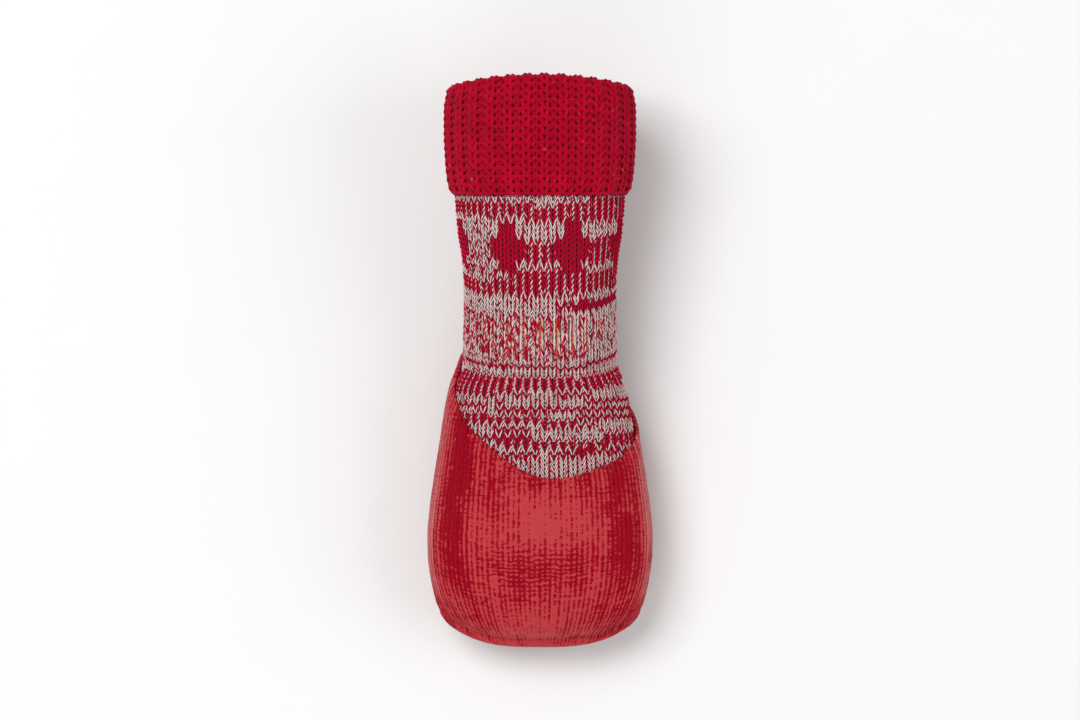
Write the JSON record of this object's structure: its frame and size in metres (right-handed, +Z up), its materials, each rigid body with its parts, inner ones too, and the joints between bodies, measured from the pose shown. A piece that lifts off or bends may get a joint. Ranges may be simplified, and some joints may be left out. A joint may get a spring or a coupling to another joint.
{
  "type": "dog sock",
  "caption": "Dog sock with a marl knit leg, a thick ribbed cuff, and a foot dipped in ribbed rubber over sole, toe and heel.",
  "frame": {"origin": "on the floor in the middle of the sole's flat, 55% of the way from the toe seam to the heel", "axes": "+X across the sock, -Y towards the toe and +Y towards the collar, +Z up from the sole"},
  "size_m": [0.0656, 0.1662, 0.0566],
  "materials": {
    "marl_knit": "red and cream marl yarn, plain knit",
    "rib_knit": "crimson yarn, thick rib",
    "dip_rubber": "satin dipped rubber, grooved along the knit"
  },
  "bodies": {
    "root": {"knit_upper": "marl_knit", "rib_cuff": "rib_knit", "rubber_sole": "dip_rubber"}
  },
  "joints": []
}
